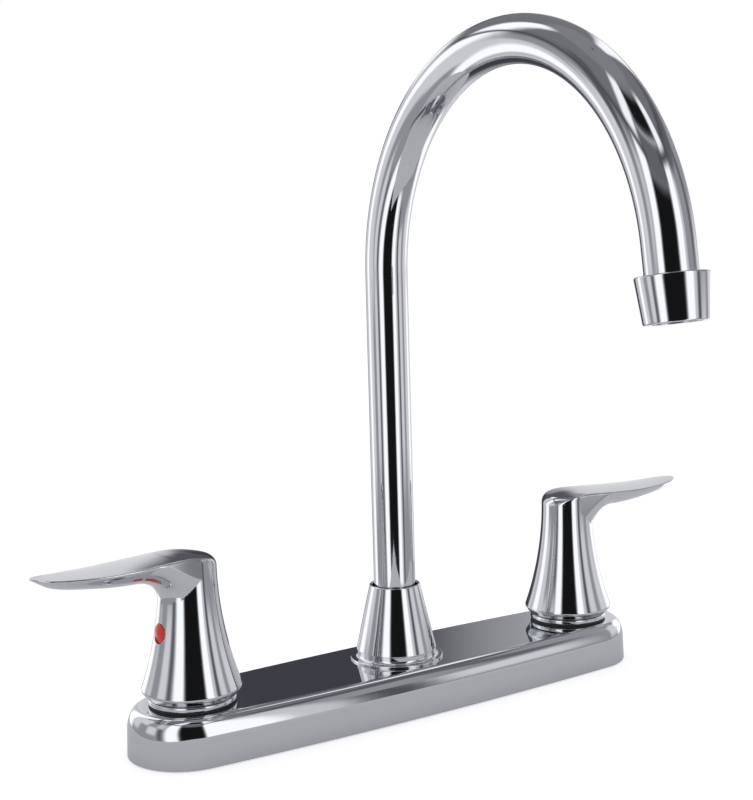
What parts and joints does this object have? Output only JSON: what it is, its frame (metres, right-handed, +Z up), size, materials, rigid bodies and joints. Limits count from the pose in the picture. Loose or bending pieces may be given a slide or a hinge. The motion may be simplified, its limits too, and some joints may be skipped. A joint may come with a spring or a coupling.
{
  "type": "kitchen faucet",
  "caption": "Deck-mounted kitchen faucet: tall gooseneck swivel spout between paired quarter-turn lever handles on a long rounded deck plate, all in polished chrome.",
  "frame": {"origin": "mouth of the centre fixing hole in the underside, straight below the axis of the spout", "axes": "+Z up, +X along the deck plate towards the cold handle, -Y towards the user and the sink"},
  "size_m": [0.3392, 0.222, 0.2905],
  "materials": {
    "chrome": "polished chrome plate",
    "brass": "machined",
    "copper": "drawn copper tube",
    "rubber": "matt black",
    "ceramic": "lapped ceramic",
    "stainless": "plain stainless steel",
    "white_plastic": "moulded",
    "red_plastic": "glossy red",
    "blue_plastic": "glossy blue"
  },
  "bodies": {
    "deck": {"deck_plate": "chrome", "base_gasket": "rubber", "spout_hub": "brass", "collar": "chrome", "retaining_clip": "stainless", "hot_valve_body": "brass", "hot_crossover_tube": "copper", "hot_ring_seal": "rubber", "hot_skirt_ring": "chrome", "hot_cartridge_body": "brass", "hot_seat_seal": "rubber", "hot_fixed_disc": "ceramic", "cold_valve_body": "brass", "cold_crossover_tube": "copper", "cold_ring_seal": "rubber", "cold_skirt_ring": "chrome", "cold_cartridge_body": "brass", "cold_seat_seal": "rubber", "cold_fixed_disc": "ceramic"},
    "hot_lever": {"hot_handle": "chrome", "hot_stem": "brass", "hot_stem_seal": "rubber", "hot_stem_clip": "stainless", "hot_moving_disc": "ceramic", "hot_handle_screw": "stainless", "hot_index_button": "red_plastic"},
    "cold_lever": {"cold_handle": "chrome", "cold_stem": "brass", "cold_stem_seal": "rubber", "cold_stem_clip": "stainless", "cold_moving_disc": "ceramic", "cold_handle_screw": "stainless", "cold_index_button": "blue_plastic"},
    "spout": {"spout_tube": "chrome", "spout_sleeve": "brass", "spout_seals": "rubber", "outlet_fitting": "brass", "aerator_housing": "chrome", "aerator_washer": "rubber", "aerator_insert": "white_plastic", "aerator_screen": "stainless"}
  },
  "joints": [
    {"name": "hot_turn", "type": "hinge", "parent": "deck", "child": "hot_lever", "pos_m": [-0.1016, 0, 0.05], "axis": [0, 0, 1], "range_deg": [0, 90]},
    {"name": "cold_turn", "type": "hinge", "parent": "deck", "child": "cold_lever", "pos_m": [0.1016, 0, 0.05], "axis": [0, 0, -1], "range_deg": [0, 90]},
    {"name": "spout_swivel", "type": "hinge", "parent": "deck", "child": "spout", "pos_m": [0, 0, 0.03], "axis": [0, 0, 1], "continuous": true}
  ]
}
